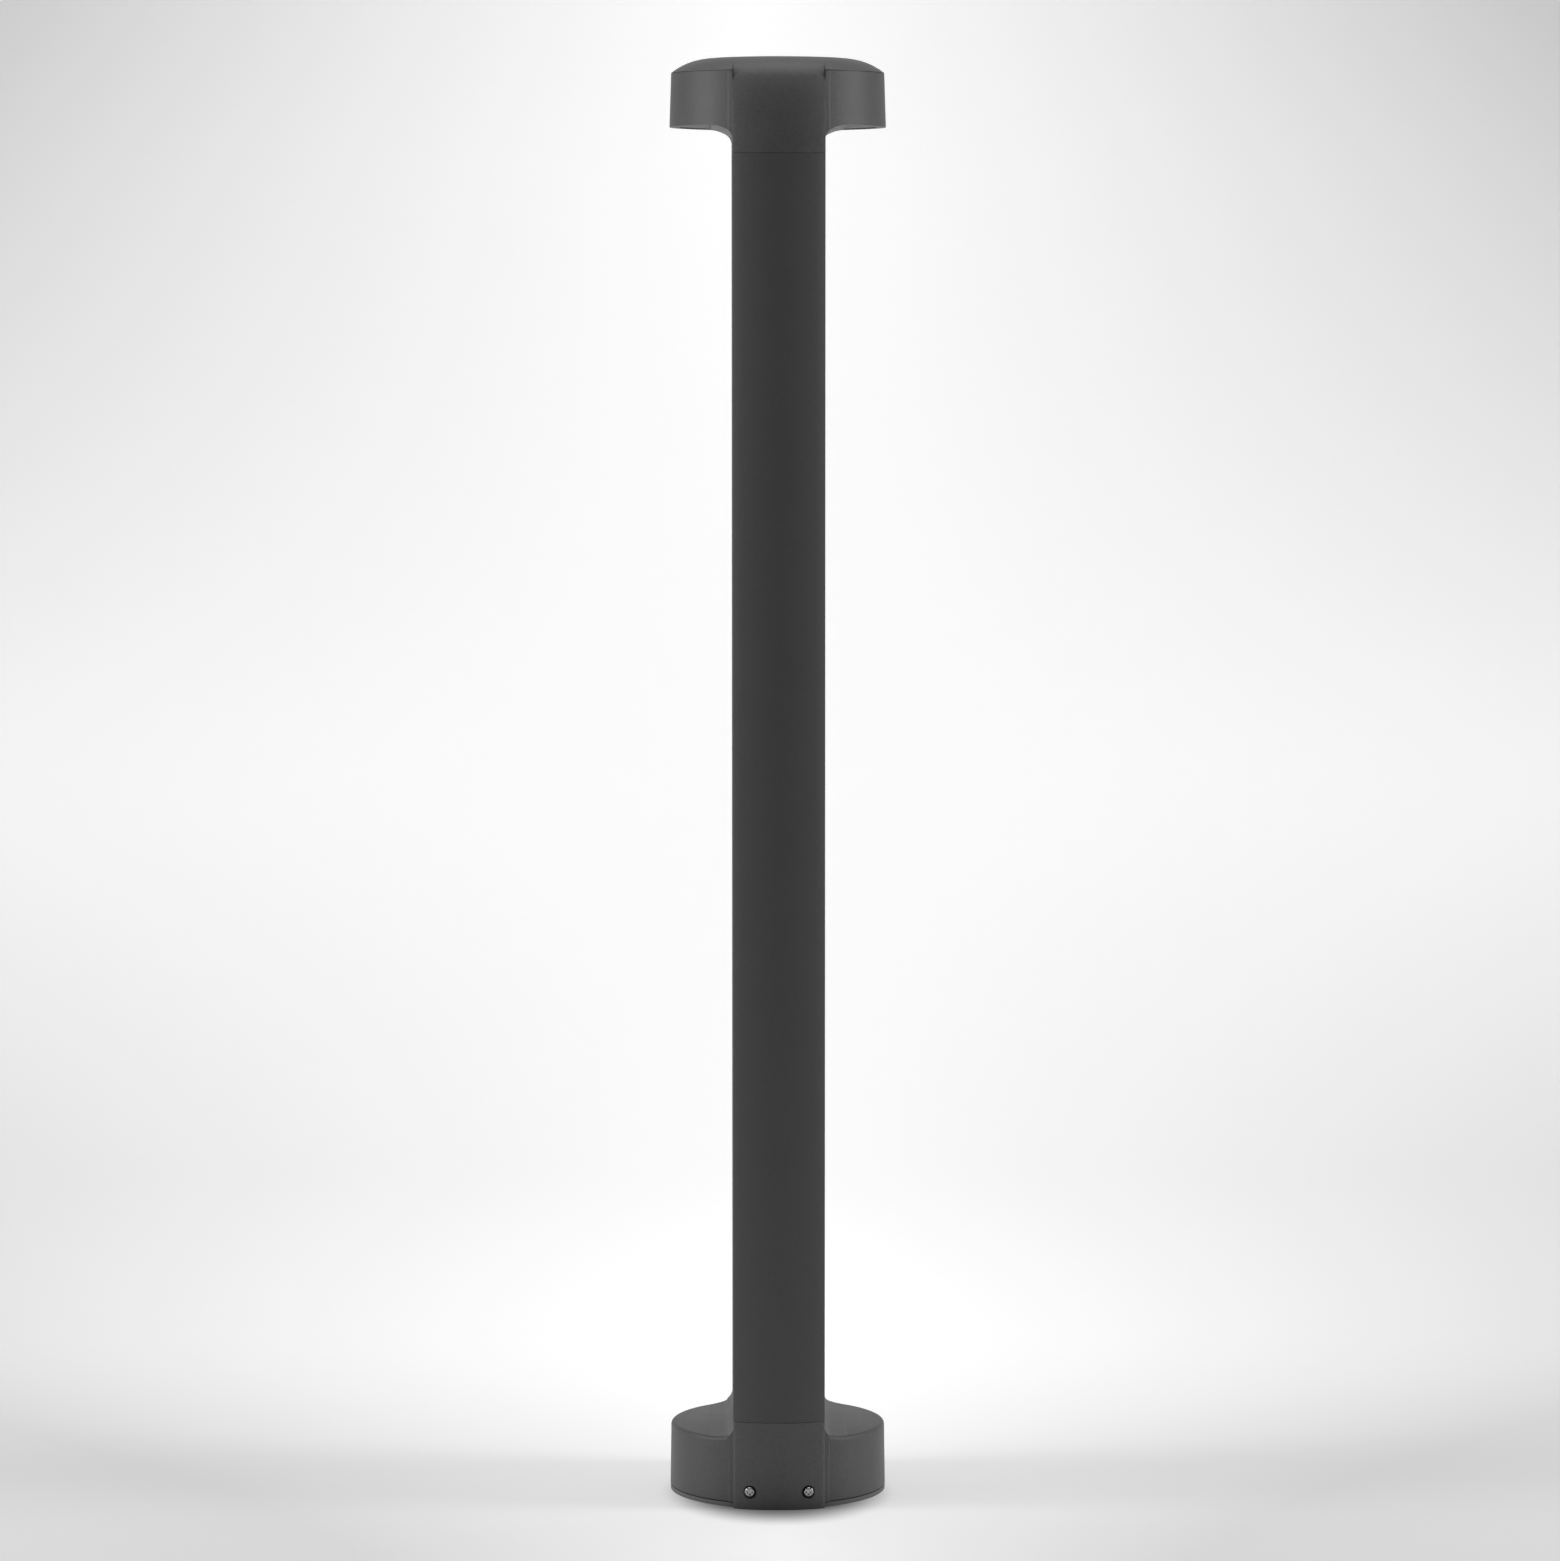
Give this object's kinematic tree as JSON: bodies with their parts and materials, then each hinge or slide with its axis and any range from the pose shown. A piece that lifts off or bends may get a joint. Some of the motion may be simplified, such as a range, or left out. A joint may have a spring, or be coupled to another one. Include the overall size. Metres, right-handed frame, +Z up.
{
  "type": "path light",
  "caption": "Bollard path light: bowed flat-sided post between two castings with half-moon wings, lit downwards from lenses under the head's wings.",
  "frame": {"origin": "on the ground, at the centre of the box that encloses the light", "axes": "+Z up the post, -Y the front face seen in the picture, +X to the viewer's right; the wings stand out along +X and -X"},
  "size_m": [0.151, 0.159, 0.9997],
  "materials": {
    "cast_coat": "fine textured graphite powder coat on cast aluminium",
    "post_coat": "fine textured graphite powder coat on extruded aluminium",
    "plate_steel": "zinc plated",
    "gasket_foam": "closed-cell foam",
    "seal_rubber": "matt",
    "screw_steel": "bright stainless",
    "earth_brass": "plain",
    "gland_plastic": "moulded nylon",
    "tray_aluminium": "mill finish",
    "driver_case": "moulded",
    "block_plastic": "moulded",
    "wire_sheath": "wire insulation",
    "lead_sheath": "two-core lead sheath",
    "board_white": "white solder mask on an aluminium board",
    "chip_yellow": "phosphor",
    "reflector_white": "moulded, high reflectance",
    "lens_frosted": "opal polycarbonate"
  },
  "bodies": {
    "root": {"base_plate": "plate_steel", "screw_brackets": "plate_steel", "earth_boss": "plate_steel", "base_gasket": "gasket_foam", "base_housing": "cast_coat", "ground_screws": "screw_steel", "earth_screw": "earth_brass", "earth_washer": "screw_steel", "cable_gland": "gland_plastic", "gland_seal": "seal_rubber", "gland_cap": "gland_plastic", "gland_locknut": "gland_plastic", "lower_gasket": "seal_rubber", "post_extrusion": "post_coat", "upper_gasket": "seal_rubber", "tie_rods": "screw_steel", "tie_rod_washers": "screw_steel", "tie_rod_nuts": "screw_steel", "driver_tray": "tray_aluminium", "led_driver": "driver_case", "driver_screws": "screw_steel", "terminal_block": "block_plastic", "terminal_screws": "earth_brass", "block_screws": "screw_steel", "driver_links": "wire_sheath", "head_housing": "cast_coat", "led_board_left": "board_white", "led_board_right": "board_white", "led_chips_left": "chip_yellow", "led_chips_right": "chip_yellow", "board_screws": "screw_steel", "reflector_left": "reflector_white", "reflector_right": "reflector_white", "lens_gasket_left": "seal_rubber", "lens_gasket_right": "seal_rubber", "lens_left": "lens_frosted", "lens_right": "lens_frosted", "lens_screws": "screw_steel", "lead_grommets": "seal_rubber", "led_lead_left": "lead_sheath", "led_lead_right": "lead_sheath"}
  },
  "joints": []
}
